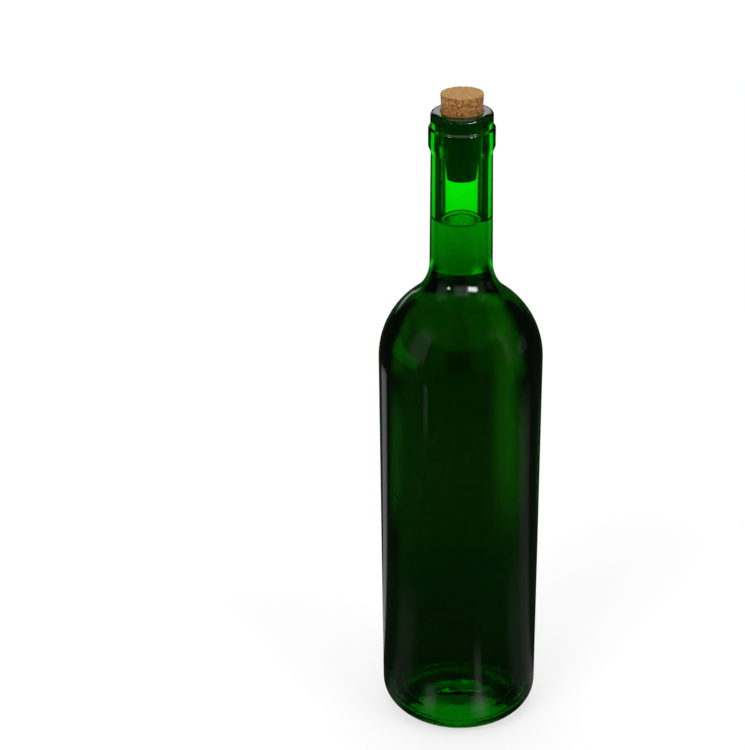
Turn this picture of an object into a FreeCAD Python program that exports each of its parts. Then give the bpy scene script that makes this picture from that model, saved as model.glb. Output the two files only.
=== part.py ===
import FreeCAD, Part
import math
import os

import Sketcher

# A corked wine bottle with high shoulders, filled into the neck: millimetres, +Z up, and the
# origin at the middle of the ring that the bottle stands on. Each piece is turned about Z.

SIZES = [
    # the glass, outside
    ("body_diameter", 74.6, "straight body, across"),
    ("straight_height", 187.0, "ground to the top of the straight body"),
    ("shoulder_radius", 38.0, "round of the shoulder"),
    ("neck_sweep", 20.0, "hollow curve from the shoulder into the neck"),
    ("neck_foot_diameter", 28.1, "neck, where the hollow curve ends"),
    ("neck_top_diameter", 26.9, "neck, just under the band"),
    ("neck_length", 69.8, "end of the hollow curve to the mouth"),
    ("lip_diameter", 27.2, "lip above the band"),
    ("lip_height", 6.6, "mouth to the foot of the lip"),
    ("lip_rounding", 2.0, "outer edge of the mouth"),
    ("band_diameter", 29.1, "raised band of the finish"),
    ("band_step", 0.7, "slope from the lip out to the band, in height"),
    ("band_height", 8.0, "straight side of the band"),
    ("band_taper", 3.0, "slope from the band in to the neck, in height"),
    ("band_rounding", 0.5, "both edges of the band"),
    ("heel_radius", 11.0, "round from the body to the standing ring"),
    ("ring_width", 3.5, "flat ring that the bottle stands on"),
    ("punt_depth", 20.0, "height of the hollow under the base"),
    ("punt_edge_radius", 5.0, "round from the standing ring into the hollow"),
    # the glass, inside
    ("body_wall", 2.9, "glass of the body and the shoulder"),
    ("bore_diameter", 18.0, "bore of the neck and the mouth"),
    ("mouth_rounding", 0.8, "inner edge of the mouth"),
    ("inner_neck_sweep", 24.0, "hollow curve of the inside, from shoulder to bore"),
    ("heel_glass", 5.0, "glass under the lowest point of the inside"),
    ("punt_wall", 4.5, "glass over the hollow of the base"),
    # the wine
    ("fill_depth", 48.5, "mouth down to the level of the wine"),
    ("meniscus_radius", 2.6, "curve of the wine's surface up to the glass"),
    ("meniscus_rise", 1.2, "height that this curve climbs"),
    # the cork
    ("cork_length", 38.0, "whole cork"),
    ("cork_depth", 30.0, "length of cork below the mouth"),
    ("cork_seat", 4.0, "length of cork that the bore squeezes"),
    ("cork_flare", 0.8, "cork's top, wider than the bore by this"),
    ("cork_taper", 5.2, "cork's foot, narrower than the bore by this"),
    ("cork_edge", 0.4, "bevel round both ends of the cork"),
]

ORIGIN = (-1, 1)          # the sketch's own origin, as a point of its geometry
ACROSS_AXIS = -1
UPRIGHT_AXIS = -2
START, END, CENTRE = 1, 2, 3
RIGHT, UP, LEFT, DOWN = 0.0, math.pi / 2, math.pi, 3 * math.pi / 2
FULL_TURN = 360.0
LENGTH_TOLERANCE = 1e-4

# The mouth's inner rounding leaves a little of the flat between it and the lip's outer rounding.
MOUTH_FLAT = "(Sizes.lip_diameter - Sizes.bore_diameter) / 2 - Sizes.lip_rounding"
MOUTH_ROUND = "min(Sizes.mouth_rounding; 0.9 * (%s))" % MOUTH_FLAT


def make_sheet(doc):
    """Write the driving sizes into the spreadsheet, a row for each."""
    sheet = doc.addObject("Spreadsheet::Sheet", "Sizes")
    for row, (alias, value, meaning) in enumerate(SIZES, start=1):
        sheet.set("A%d" % row, alias)
        sheet.set("B%d" % row, str(value))
        sheet.set("C%d" % row, meaning)
        sheet.setAlias("B%d" % row, alias)
    doc.recompute()
    return sheet


def new_body(doc, label):
    """Start one sub-part, which takes its node's name."""
    body = doc.addObject("PartDesign::Body", label)
    body.Label = label
    body.Placement = FreeCAD.Placement()
    return body


class HalfOutline:
    """A closed outline on one side of Z: x is the distance from the axis and y the height.

    Each curve is first drawn where the sizes put it, and then held there by constraints whose
    values are bound to the sheet, so that the outline follows every size.
    """

    def __init__(self, body, name):
        self.sketch = body.newObject("Sketcher::SketchObject", name)
        planes = [item for item in body.Origin.OriginFeatures if item.Role == "XZ_Plane"]
        self.sketch.AttachmentSupport = [(planes[0], "")]
        self.sketch.MapMode = "FlatFace"

    def line(self, start, end, construction=False):
        """Draw a straight stretch and return its number."""
        segment = Part.LineSegment(FreeCAD.Vector(*start), FreeCAD.Vector(*end))
        return self.sketch.addGeometry(segment, construction)

    def arc(self, centre, radius, first, last):
        """Draw an arc, anticlockwise from the first angle to the last, and return its number."""
        circle = Part.Circle(FreeCAD.Vector(*centre), FreeCAD.Vector(0, 0, 1), radius)
        return self.sketch.addGeometry(Part.ArcOfCircle(circle, first, last), False)

    def rule(self, kind, *places):
        """Add a constraint that has no size."""
        return self.sketch.addConstraint(Sketcher.Constraint(kind, *places))

    def join(self, one, one_end, other, other_end):
        """Let two ends meet, with a corner between them."""
        self.rule("Coincident", one, one_end, other, other_end)

    def flow(self, one, one_end, other, other_end):
        """Let two ends meet smoothly."""
        self.rule("Tangent", one, one_end, other, other_end)

    def size(self, name, kind, *places, bind):
        """Add a sized constraint and bind it to an expression over the sheet."""
        now = self.measured(kind, places)
        index = self.sketch.addConstraint(Sketcher.Constraint(kind, *places, now))
        self.sketch.renameConstraint(index, name)
        self.sketch.setExpression("Constraints." + name, bind)

    def reading(self, name, kind, *places):
        """Add a size that only reads what the others give, for use by other pieces."""
        now = self.measured(kind, places)
        index = self.sketch.addConstraint(Sketcher.Constraint(kind, *places, now))
        self.sketch.setDriving(index, False)
        self.sketch.renameConstraint(index, name)

    def measured(self, kind, places):
        """Return what a size measures on the outline as drawn."""
        if kind == "Radius":
            return self.sketch.Geometry[places[0]].Radius
        first = self.sketch.getPoint(places[0], places[1])
        second = self.sketch.getPoint(places[2], places[3])
        return second.x - first.x if kind == "DistanceX" else second.y - first.y

    def turn(self, body, feature, name):
        """Turn the outline once round Z, as a solid or as a cut, and return the feature."""
        solid = body.newObject("PartDesign::" + feature, name)
        solid.Profile = self.sketch
        solid.ReferenceAxis = (self.sketch, ["V_Axis"])
        solid.Angle = FULL_TURN
        self.sketch.Visibility = False
        return solid


def touching_centre_height(across, distance):
    """Height between two centres that lie this far apart, of which `across` is level."""
    return math.sqrt(distance ** 2 - across ** 2)


def touch_angle(one, other):
    """Angle at which a circle round `one` meets a circle round `other` that it touches."""
    return math.atan2(other[1] - one[1], other[0] - one[0]) % (2 * math.pi)


def sweep_centre(neck_radius, sweep, shoulder_centre, shoulder_radius):
    """Centre of the hollow curve that touches both the upright neck and the shoulder's round."""
    across = neck_radius + sweep
    rise = touching_centre_height(across - shoulder_centre[0], shoulder_radius + sweep)
    return across, shoulder_centre[1] + rise


def punt_radius(ring_inner, depth, edge):
    """Radius of the hollow's dome, which touches the round of the standing ring's inner edge."""
    return (ring_inner ** 2 + depth ** 2 - 2 * depth * edge) / (2 * depth)


def outer_outline(body, size):
    """Draw the outside of the glass, from the hollow under the base up to the mouth."""
    radius = size("body_diameter") / 2
    heel, edge, depth = size("heel_radius"), size("punt_edge_radius"), size("punt_depth")
    ring_outer = radius - heel
    ring_inner = ring_outer - size("ring_width")
    dome_radius = punt_radius(ring_inner, depth, edge)
    dome_centre, edge_centre = (0, depth - dome_radius), (ring_inner, edge)
    straight, shoulder_radius = size("straight_height"), size("shoulder_radius")
    shoulder_centre = (radius - shoulder_radius, straight)
    sweep, neck_foot = size("neck_sweep"), size("neck_foot_diameter") / 2
    neck_top, band, lip = size("neck_top_diameter") / 2, size("band_diameter") / 2, size("lip_diameter") / 2
    neck_centre = sweep_centre(neck_foot, sweep, shoulder_centre, shoulder_radius)
    mouth = neck_centre[1] + size("neck_length")
    lip_foot = mouth - size("lip_height")
    band_top = lip_foot - size("band_step")
    band_foot = band_top - size("band_height")
    neck_end = band_foot - size("band_taper")

    draw = HalfOutline(body, "glass_outline")
    dome = draw.arc(dome_centre, dome_radius, touch_angle(dome_centre, edge_centre), UP)
    round_in = draw.arc(edge_centre, edge, touch_angle(edge_centre, dome_centre), DOWN)
    ring = draw.line((ring_inner, 0), (ring_outer, 0))
    heel_arc = draw.arc((ring_outer, heel), heel, DOWN, DOWN + UP)
    wall = draw.line((radius, heel), (radius, straight))
    shoulder = draw.arc(shoulder_centre, shoulder_radius, RIGHT, touch_angle(shoulder_centre, neck_centre))
    hollow = draw.arc(neck_centre, sweep, LEFT, touch_angle(neck_centre, shoulder_centre))
    neck = draw.line((neck_foot, neck_centre[1]), (neck_top, neck_end))
    slope = draw.line((neck_top, neck_end), (band, band_foot))
    side = draw.line((band, band_foot), (band, band_top))
    step = draw.line((band, band_top), (lip, lip_foot))
    lip_side = draw.line((lip, lip_foot), (lip, mouth))
    top = draw.line((lip, mouth), (0, mouth))
    axis = draw.line((0, mouth), (0, depth))

    draw.flow(dome, START, round_in, START)
    draw.flow(round_in, END, ring, START)
    draw.flow(ring, END, heel_arc, START)
    draw.flow(heel_arc, END, wall, START)
    draw.flow(wall, END, shoulder, START)
    draw.flow(shoulder, END, hollow, END)
    draw.flow(hollow, START, neck, START)
    finish = (neck, slope, side, step, lip_side, top, axis)
    for lower, upper in zip(finish, finish[1:]):
        draw.join(lower, END, upper, START)
    draw.join(axis, END, dome, END)
    draw.rule("PointOnObject", dome, CENTRE, UPRIGHT_AXIS)
    draw.rule("PointOnObject", top, END, UPRIGHT_AXIS)
    draw.rule("PointOnObject", ring, START, ACROSS_AXIS)
    draw.rule("Horizontal", ring)
    draw.rule("Horizontal", top)
    for upright in (wall, side, lip_side, axis):
        draw.rule("Vertical", upright)

    draw.size("punt_depth", "DistanceY", *ORIGIN, dome, END, bind="Sizes.punt_depth")
    draw.size("punt_edge", "Radius", round_in, bind="Sizes.punt_edge_radius")
    draw.size("ring_width", "DistanceX", ring, START, ring, END, bind="Sizes.ring_width")
    draw.size("heel", "Radius", heel_arc, bind="Sizes.heel_radius")
    draw.size("body_radius", "DistanceX", *ORIGIN, wall, START, bind="Sizes.body_diameter / 2")
    draw.size("straight", "DistanceY", *ORIGIN, wall, END, bind="Sizes.straight_height")
    draw.size("shoulder", "Radius", shoulder, bind="Sizes.shoulder_radius")
    draw.size("sweep", "Radius", hollow, bind="Sizes.neck_sweep")
    draw.size("neck_foot", "DistanceX", *ORIGIN, neck, START, bind="Sizes.neck_foot_diameter / 2")
    draw.size("neck_top", "DistanceX", *ORIGIN, neck, END, bind="Sizes.neck_top_diameter / 2")
    draw.size("neck_length", "DistanceY", neck, START, top, START, bind="Sizes.neck_length")
    draw.size("band_taper", "DistanceY", slope, START, slope, END, bind="Sizes.band_taper")
    draw.size("band_height", "DistanceY", side, START, side, END, bind="Sizes.band_height")
    draw.size("band_radius", "DistanceX", *ORIGIN, side, START, bind="Sizes.band_diameter / 2")
    draw.size("band_step", "DistanceY", step, START, step, END, bind="Sizes.band_step")
    draw.size("lip_height", "DistanceY", lip_side, START, lip_side, END, bind="Sizes.lip_height")
    draw.size("lip_radius", "DistanceX", *ORIGIN, lip_side, START, bind="Sizes.lip_diameter / 2")
    draw.reading("mouth_height", "DistanceY", *ORIGIN, top, START)
    draw.reading("punt_radius", "Radius", dome)
    return draw


def inner_outline(body, name, size, mouth, top_bind, meniscus=False):
    """Draw the inside of the glass, from its floor up the bore to the mouth or to the wine's level.

    The wine has this same outline, so it lies against the glass all over, and its surface curves
    up where it meets the glass.
    """
    radius = size("body_diameter") / 2 - size("body_wall")
    bore = size("bore_diameter") / 2
    shoulder_radius = size("shoulder_radius") - size("body_wall")
    shoulder_centre = (radius - shoulder_radius, size("straight_height"))
    sweep = size("inner_neck_sweep")
    neck_centre = sweep_centre(bore, sweep, shoulder_centre, shoulder_radius)
    ring_inner = size("body_diameter") / 2 - size("heel_radius") - size("ring_width")
    under_radius = punt_radius(ring_inner, size("punt_depth"), size("punt_edge_radius"))
    dome_radius = under_radius + size("punt_wall")
    dome_centre = (0, size("punt_depth") - under_radius)
    floor = size("heel_glass")
    trough = trough_radius(radius, dome_radius, floor - dome_centre[1])
    trough_centre = (radius - trough, floor + trough)
    apex = dome_centre[1] + dome_radius
    climb = size("meniscus_rise") if meniscus else 0.0
    level = mouth - size("fill_depth") if meniscus else mouth

    draw = HalfOutline(body, name)
    dome = draw.arc(dome_centre, dome_radius, touch_angle(dome_centre, trough_centre), UP)
    trough_arc = draw.arc(trough_centre, trough, touch_angle(trough_centre, dome_centre), DOWN + UP)
    wall = draw.line((radius, trough_centre[1]), (radius, shoulder_centre[1]))
    shoulder = draw.arc(shoulder_centre, shoulder_radius, RIGHT, touch_angle(shoulder_centre, neck_centre))
    hollow = draw.arc(neck_centre, sweep, LEFT, touch_angle(neck_centre, shoulder_centre))
    side = draw.line((bore, neck_centre[1]), (bore, level + climb))
    floor_line = draw.line((trough_centre[0], floor), (radius, floor), construction=True)

    draw.flow(dome, START, trough_arc, START)
    draw.flow(trough_arc, END, wall, START)
    draw.flow(wall, END, shoulder, START)
    draw.flow(shoulder, END, hollow, END)
    draw.flow(hollow, START, side, START)
    draw.rule("PointOnObject", dome, CENTRE, UPRIGHT_AXIS)
    draw.rule("PointOnObject", dome, END, UPRIGHT_AXIS)
    draw.rule("Vertical", wall)
    draw.rule("Vertical", side)
    draw.rule("Horizontal", floor_line)
    draw.rule("Tangent", floor_line, trough_arc)
    draw.rule("Vertical", floor_line, START, trough_arc, CENTRE)
    draw.rule("PointOnObject", floor_line, END, wall)

    draw.size("apex", "DistanceY", *ORIGIN, dome, END, bind="Sizes.punt_depth + Sizes.punt_wall")
    draw.size("dome", "Radius", dome, bind="glass_outline.Constraints.punt_radius + Sizes.punt_wall * 1 mm")
    draw.size("floor", "DistanceY", *ORIGIN, floor_line, START, bind="Sizes.heel_glass")
    wall_bind = "Sizes.body_diameter / 2 - Sizes.body_wall"
    draw.size("inner_radius", "DistanceX", *ORIGIN, wall, START, bind=wall_bind)
    draw.size("straight", "DistanceY", *ORIGIN, wall, END, bind="Sizes.straight_height")
    draw.size("shoulder", "Radius", shoulder, bind="Sizes.shoulder_radius - Sizes.body_wall")
    draw.size("sweep", "Radius", hollow, bind="Sizes.inner_neck_sweep")
    draw.size("bore", "DistanceX", *ORIGIN, side, START, bind="Sizes.bore_diameter / 2")

    if meniscus:
        curve = size("meniscus_radius")
        reach = math.sqrt(curve ** 2 - (curve - climb) ** 2)
        centre = (bore - reach, level + curve)
        skin = draw.arc(centre, curve, DOWN, math.atan2(climb - curve, reach) % (2 * math.pi))
        top = draw.line((0, level), (bore - reach, level))
        draw.join(side, END, skin, END)
        draw.flow(top, END, skin, START)
        draw.size("curve", "Radius", skin, bind="Sizes.meniscus_radius")
        draw.size("climb", "DistanceY", top, END, side, END, bind="Sizes.meniscus_rise")
    else:
        top = draw.line((0, level), (bore, level))
        draw.join(side, END, top, END)
    axis = draw.line((0, apex), (0, level))
    draw.join(dome, END, axis, START)
    draw.join(axis, END, top, START)
    draw.rule("Horizontal", top)
    draw.rule("Vertical", axis)
    draw.size("level", "DistanceY", *ORIGIN, top, START, bind=top_bind)
    return draw


def trough_radius(wall, dome, height):
    """Radius of the round that touches the wall, the dome and a floor at this height over its centre."""
    middle = wall + dome - height
    return middle - math.sqrt(middle ** 2 - (wall ** 2 + height ** 2 - dome ** 2))


def rim(shape, radius, height):
    """Names of the level circular edges of this radius at this height."""
    names = []
    for number, edge in enumerate(shape.Edges, start=1):
        if edge.Degenerated or not isinstance(edge.Curve, Part.Circle):
            continue
        away = max(abs(edge.Curve.Radius - radius), abs(edge.Curve.Center.z - height))
        if away < LENGTH_TOLERANCE:
            names.append("Edge%d" % number)
    if not names:
        raise RuntimeError("no round edge of radius %.3f at height %.3f" % (radius, height))
    return names


def soften(body, name, kind, base, edges, bind):
    """Round or bevel these edges of the last feature by a size from the sheet."""
    feature = body.newObject("PartDesign::" + kind, name)
    feature.Base = (base, edges)
    feature.setExpression("Radius" if kind == "Fillet" else "Size", bind)
    return feature


def make_bottle(doc, size):
    """The glass: a turned blank with its lip and band rounded, hollowed by the inner outline."""
    body = new_body(doc, "bottle")
    outline = outer_outline(body, size)
    blank = outline.turn(body, "Revolution", "glass_blank")
    doc.recompute()
    mouth = outline.sketch.getDatum("mouth_height").Value
    band_top = mouth - size("lip_height") - size("band_step")
    band_foot = band_top - size("band_height")
    band = size("band_diameter") / 2
    lip_edge = rim(blank.Shape, size("lip_diameter") / 2, mouth)
    lip = soften(body, "lip_round", "Fillet", blank, lip_edge, "Sizes.lip_rounding")
    doc.recompute()
    band_edges = rim(lip.Shape, band, band_top) + rim(lip.Shape, band, band_foot)
    rounded = soften(body, "band_round", "Fillet", lip, band_edges, "Sizes.band_rounding")
    doc.recompute()
    whole = rounded.Shape.Volume
    inside = inner_outline(body, "glass_inside", size, mouth, "glass_outline.Constraints.mouth_height")
    hollow = inside.turn(body, "Groove", "glass_hollow")
    doc.recompute()
    if hollow.Shape.Volume >= whole:
        raise RuntimeError("the hollow of the bottle cuts nothing")
    mouth_edge = rim(hollow.Shape, size("bore_diameter") / 2, mouth)
    soften(body, "mouth_round", "Fillet", hollow, mouth_edge, MOUTH_ROUND)
    doc.recompute()
    return body, mouth


def make_wine(doc, size, mouth):
    """The wine: all of the inside up to its level in the neck."""
    body = new_body(doc, "wine")
    level = "glass_outline.Constraints.mouth_height - Sizes.fill_depth * 1 mm"
    outline = inner_outline(body, "wine_outline", size, mouth, level, meniscus=True)
    outline.turn(body, "Revolution", "wine_fill")
    doc.recompute()
    return body


def make_cork(doc, size, mouth):
    """The cork: a tapered stopper that the bore squeezes just under the mouth."""
    body = new_body(doc, "cork")
    bore = size("bore_diameter") / 2
    head, foot = bore + size("cork_flare") / 2, bore - size("cork_taper") / 2
    low = mouth - size("cork_depth")
    high = low + size("cork_length")
    seat = mouth - size("cork_seat")

    draw = HalfOutline(body, "cork_outline")
    base = draw.line((0, low), (foot, low))
    taper = draw.line((foot, low), (bore, seat))
    land = draw.line((bore, seat), (bore, mouth))
    flare = draw.line((bore, mouth), (head, high))
    top = draw.line((head, high), (0, high))
    axis = draw.line((0, high), (0, low))
    loop = (base, taper, land, flare, top, axis)
    for lower, upper in zip(loop, loop[1:] + loop[:1]):
        draw.join(lower, END, upper, START)
    draw.rule("Horizontal", base)
    draw.rule("Vertical", land)
    draw.rule("Horizontal", top)
    draw.rule("Vertical", axis)
    draw.rule("PointOnObject", axis, START, UPRIGHT_AXIS)
    mouth_bind = "glass_outline.Constraints.mouth_height"
    draw.size("foot", "DistanceX", *ORIGIN, base, END, bind="(Sizes.bore_diameter - Sizes.cork_taper) / 2")
    draw.size("bore", "DistanceX", *ORIGIN, land, START, bind="Sizes.bore_diameter / 2")
    draw.size("head", "DistanceX", *ORIGIN, top, START, bind="(Sizes.bore_diameter + Sizes.cork_flare) / 2")
    draw.size("mouth", "DistanceY", *ORIGIN, land, END, bind=mouth_bind)
    draw.size("seat", "DistanceY", land, START, land, END, bind="Sizes.cork_seat")
    draw.size("depth", "DistanceY", base, END, land, END, bind="Sizes.cork_depth")
    draw.size("length", "DistanceY", axis, END, axis, START, bind="Sizes.cork_length")
    stopper = draw.turn(body, "Revolution", "cork_blank")
    doc.recompute()
    ends = rim(stopper.Shape, foot, low) + rim(stopper.Shape, head, high)
    soften(body, "cork_bevel", "Chamfer", stopper, ends, "Sizes.cork_edge")
    doc.recompute()
    return body


def check(doc, bodies):
    """Stop before anything is written if a feature failed or a piece isn't one valid solid."""
    for item in doc.Objects:
        if "Invalid" in item.State or "Error" in item.State:
            raise RuntimeError("%s failed: %s" % (item.Name, item.State))
    for body in bodies:
        shape = body.Shape
        if shape.isNull() or not shape.isValid() or len(shape.Solids) != 1:
            raise RuntimeError("%s is not one valid solid" % body.Label)


def main():
    """Build the document, check it and write each piece to its own file."""
    doc = FreeCAD.newDocument("wine_bottle")
    sheet = make_sheet(doc)

    def size(alias):
        """Read a driving size from the sheet."""
        return float(sheet.get(alias))

    bottle, mouth = make_bottle(doc, size)
    bodies = [bottle, make_wine(doc, size, mouth), make_cork(doc, size, mouth)]
    check(doc, bodies)
    os.makedirs("parts", exist_ok=True)
    for body in bodies:
        body.Shape.exportStep("parts/%s.step" % body.Label)
        box = body.Shape.BoundBox
        print("%s: %.2f cm3, z %.2f to %.2f" % (body.Label, body.Shape.Volume / 1000, box.ZMin, box.ZMax))


main()
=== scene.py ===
import logging
import math
from collections.abc import Mapping, Sequence
from dataclasses import dataclass, field
from enum import Enum

import bmesh
import bpy
from mathutils import Matrix, Vector


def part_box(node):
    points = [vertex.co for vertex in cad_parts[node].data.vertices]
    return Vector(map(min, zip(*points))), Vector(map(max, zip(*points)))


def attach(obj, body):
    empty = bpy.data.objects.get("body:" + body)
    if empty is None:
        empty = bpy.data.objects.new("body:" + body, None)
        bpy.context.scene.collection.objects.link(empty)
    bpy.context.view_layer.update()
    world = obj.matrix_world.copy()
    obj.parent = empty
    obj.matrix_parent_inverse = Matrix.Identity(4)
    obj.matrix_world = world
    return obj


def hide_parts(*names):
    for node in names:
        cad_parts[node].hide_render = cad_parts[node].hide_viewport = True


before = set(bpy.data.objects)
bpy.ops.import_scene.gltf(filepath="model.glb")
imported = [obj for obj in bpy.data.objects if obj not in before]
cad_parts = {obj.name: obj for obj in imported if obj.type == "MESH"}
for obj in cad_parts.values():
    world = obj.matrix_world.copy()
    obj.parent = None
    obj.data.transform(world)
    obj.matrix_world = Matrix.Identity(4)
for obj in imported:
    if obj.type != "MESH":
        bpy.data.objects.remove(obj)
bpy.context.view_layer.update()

BODY = "root"
MM = 0.001
LOG = logging.getLogger("wine_bottle")

# Points of an outline, in mm: two that lie nearer than this are one, and one this near the axis is on it.
SAME_PLACE = 1e-4
ON_AXIS = 1e-6

# Degrees from point to point on the two domes of the punt.
DOME_STEP = 1.5

# How often light may pass through a face, or be mirrored by one, on its way to the eye.
THROUGH_BOUNCES = 24
MIRROR_BOUNCES = 12

Point = tuple[float, float]


# ---------------------------------------------------------------------------------------------
# Small helpers
# ---------------------------------------------------------------------------------------------


def linear(colour: str) -> tuple[float, float, float, float]:
    """Turn an sRGB hex colour into the linear colour that a shader takes.

    Args:
        colour: Six hex digits, such as "ffffff".

    Returns:
        Red, green, blue and an alpha of one.
    """
    parts = [int(colour[place:place + 2], 16) / 255 for place in (0, 2, 4)]
    low, slope, offset, power = 0.04045, 12.92, 0.055, 2.4
    made = [part / slope if part <= low else ((part + offset) / (1 + offset)) ** power for part in parts]
    return made[0], made[1], made[2], 1.0


def add_node(
    tree: bpy.types.NodeTree,
    kind: str,
    settings: Mapping[str, object] | None = None,
    links: Mapping[str | int, object] | None = None,
) -> bpy.types.Node:
    """Add a node, give it its settings and fill its inputs.

    Args:
        tree: The tree that takes the node.
        kind: The node's class, such as "ShaderNodeMath".
        settings: Values of the node's own properties.
        links: For each input, by name or number, a value or the output socket that feeds it.

    Returns:
        The new node.
    """
    node = tree.nodes.new(kind)
    for name, value in (settings or {}).items():
        setattr(node, name, value)
    for name, value in (links or {}).items():
        socket = node.inputs[name]
        if isinstance(value, bpy.types.NodeSocket):
            tree.links.new(value, socket)
        else:
            socket.default_value = value
    return node


def maths(tree: bpy.types.NodeTree, operation: str, *values: object) -> bpy.types.NodeSocket:
    """Add one sum to a tree.

    Args:
        tree: A shader or geometry tree.
        operation: The name of the sum, such as "MULTIPLY".
        values: Up to three numbers or output sockets.

    Returns:
        The socket that holds the result.
    """
    made = add_node(tree, "ShaderNodeMath", {"operation": operation}, dict(enumerate(values)))
    return made.outputs[0]


def length_of(tree: bpy.types.NodeTree, vector: bpy.types.NodeSocket) -> bpy.types.NodeSocket:
    """Add the length of a vector to a tree.

    Args:
        tree: The tree.
        vector: The vector.

    Returns:
        The socket that holds its length.
    """
    return add_node(tree, "ShaderNodeVectorMath", {"operation": "LENGTH"}, {0: vector}).outputs["Value"]


def ramp_between(
    tree: bpy.types.NodeTree, value: object, low: float, high: float, start: float = 0.0, end: float = 1.0
) -> bpy.types.NodeSocket:
    """Let a value rise or fall smoothly from one level to another.

    Args:
        tree: A shader or geometry tree.
        value: The socket that is read.
        low: Where the change begins.
        high: Where it ends.
        start: The level before the change.
        end: The level after it.

    Returns:
        The socket that holds the level.
    """
    settings = {"interpolation_type": "SMOOTHSTEP"}
    links = {0: value, 1: low, 2: high, 3: start, 4: end}
    return add_node(tree, "ShaderNodeMapRange", settings, links).outputs[0]


def scaled(tree: bpy.types.NodeTree, vector: object, factor: object) -> bpy.types.NodeSocket:
    """Multiply a vector by a number in a tree.

    Args:
        tree: A shader or geometry tree.
        vector: The socket of the vector.
        factor: A number or the socket of one.

    Returns:
        The socket that holds the product.
    """
    made = add_node(tree, "ShaderNodeVectorMath", {"operation": "SCALE"}, {0: vector, "Scale": factor})
    return made.outputs[0]


def new_rule(name: str, inputs: Mapping[str, str]) -> tuple[bpy.types.NodeTree, bpy.types.Node]:
    """Start a Geometry Nodes tree that takes a mesh and some named inputs.

    Args:
        name: Name of the tree.
        inputs: The socket class of each named input.

    Returns:
        The tree and its input node.
    """
    tree = bpy.data.node_groups.new(name, "GeometryNodeTree")
    tree.interface.new_socket("Geometry", in_out="INPUT", socket_type="NodeSocketGeometry")
    for label, kind in inputs.items():
        tree.interface.new_socket(label, in_out="INPUT", socket_type=kind)
    tree.interface.new_socket("Geometry", in_out="OUTPUT", socket_type="NodeSocketGeometry")
    return tree, add_node(tree, "NodeGroupInput")


def end_rule(
    tree: bpy.types.NodeTree, geometry: bpy.types.NodeSocket, material: bpy.types.NodeSocket
) -> None:
    """End a Geometry Nodes tree: make its instances real and give everything its material.

    Args:
        tree: The tree.
        geometry: The result so far.
        material: The socket that holds the material.
    """
    real = add_node(tree, "GeometryNodeRealizeInstances", None, {"Geometry": geometry}).outputs[0]
    dressed = add_node(tree, "GeometryNodeSetMaterial", None, {"Geometry": real, "Material": material})
    add_node(tree, "NodeGroupOutput", None, {"Geometry": dressed.outputs[0]})


def apply_rule(piece: bpy.types.Object, tree: bpy.types.NodeTree, values: Mapping[str, object]) -> None:
    """Put a Geometry Nodes tree on a piece with its values, and keep the result as the plain mesh.

    Args:
        piece: The object whose mesh the tree shapes.
        tree: The tree.
        values: A value for each named input.
    """
    modifier = piece.modifiers.new(tree.name, "NODES")
    modifier.node_group = tree
    for item in tree.interface.items_tree:
        if item.item_type == "SOCKET" and item.in_out == "INPUT" and item.name in values:
            modifier[item.identifier] = values[item.name]
    settle(piece)


# ---------------------------------------------------------------------------------------------
# Outlines and turned meshes
# ---------------------------------------------------------------------------------------------


@dataclass
class Outline:
    """An outline in the half plane, from point to point: distance from the axis and height, in mm."""

    arc_step: float = 3.0
    points: list[Point] = field(default_factory=list)

    def to(self, across: float, height: float) -> None:
        """Go straight to a point."""
        self.points.append((across, height))

    def straight(self, across: float, height: float, margin: float = 1.0, rows: int = 2) -> None:
        """Go straight to a point, with rows that keep the shading of both ends apart.

        Args:
            across: Distance of the end from the axis.
            height: Height of the end.
            margin: Distance of the first and last row from the ends.
            rows: Rows between those two.
        """
        begin = self.points[-1]
        first = margin / math.dist(begin, (across, height))
        shares = [first + (1 - 2 * first) * row / (rows + 1) for row in range(rows + 2)]
        for share in (*shares, 1.0):
            self.to(begin[0] + (across - begin[0]) * share, begin[1] + (height - begin[1]) * share)

    def arc(self, centre: Point, radius: float, first: float, last: float, step: float = 0.0) -> None:
        """Follow a circle.

        Args:
            centre: The circle's centre.
            radius: Its radius.
            first: Angle where the arc starts, in radians, from the outward direction.
            last: Angle where it ends; less than the first angle runs clockwise.
            step: Degrees from point to point, or nothing for the outline's own step.
        """
        count = max(2, math.ceil(abs(math.degrees(last - first)) / (step or self.arc_step)))
        for number in range(count + 1):
            angle = first + (last - first) * number / count
            here = (centre[0] + radius * math.cos(angle), centre[1] + radius * math.sin(angle))
            if not self.points or math.dist(self.points[-1], here) > SAME_PLACE:
                self.points.append(here)

    def corner(self, at: Point, onward: Point, radius: float, steps: int = 5) -> None:
        """Round the corner between the last point and a point further on.

        Args:
            at: The sharp corner.
            onward: A point on the stretch after it.
            radius: Radius of the round.
            steps: Straight pieces in the round.
        """
        before = (Vector(self.points[-1]) - Vector(at)).normalized()
        after = (Vector(onward) - Vector(at)).normalized()
        half = before.angle(after) / 2
        middle = Vector(at) + (before + after).normalized() * radius / math.sin(half)
        start = Vector(at) + before * radius / math.tan(half)
        end = Vector(at) + after * radius / math.tan(half)
        first = math.atan2(start.y - middle.y, start.x - middle.x)
        turn = math.atan2(end.y - middle.y, end.x - middle.x) - first
        turn = (turn + math.pi) % (2 * math.pi) - math.pi
        for step in range(steps + 1):
            angle = first + turn * step / steps
            self.to(middle.x + radius * math.cos(angle), middle.y + radius * math.sin(angle))


def mesh_of(name: str, shape: bmesh.types.BMesh) -> bpy.types.Mesh:
    """Turn a shape under construction into a mesh.

    Args:
        name: Name of the mesh.
        shape: The shape, which is freed.

    Returns:
        The mesh.
    """
    made = bpy.data.meshes.new(name)
    shape.to_mesh(made)
    shape.free()
    return made


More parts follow.
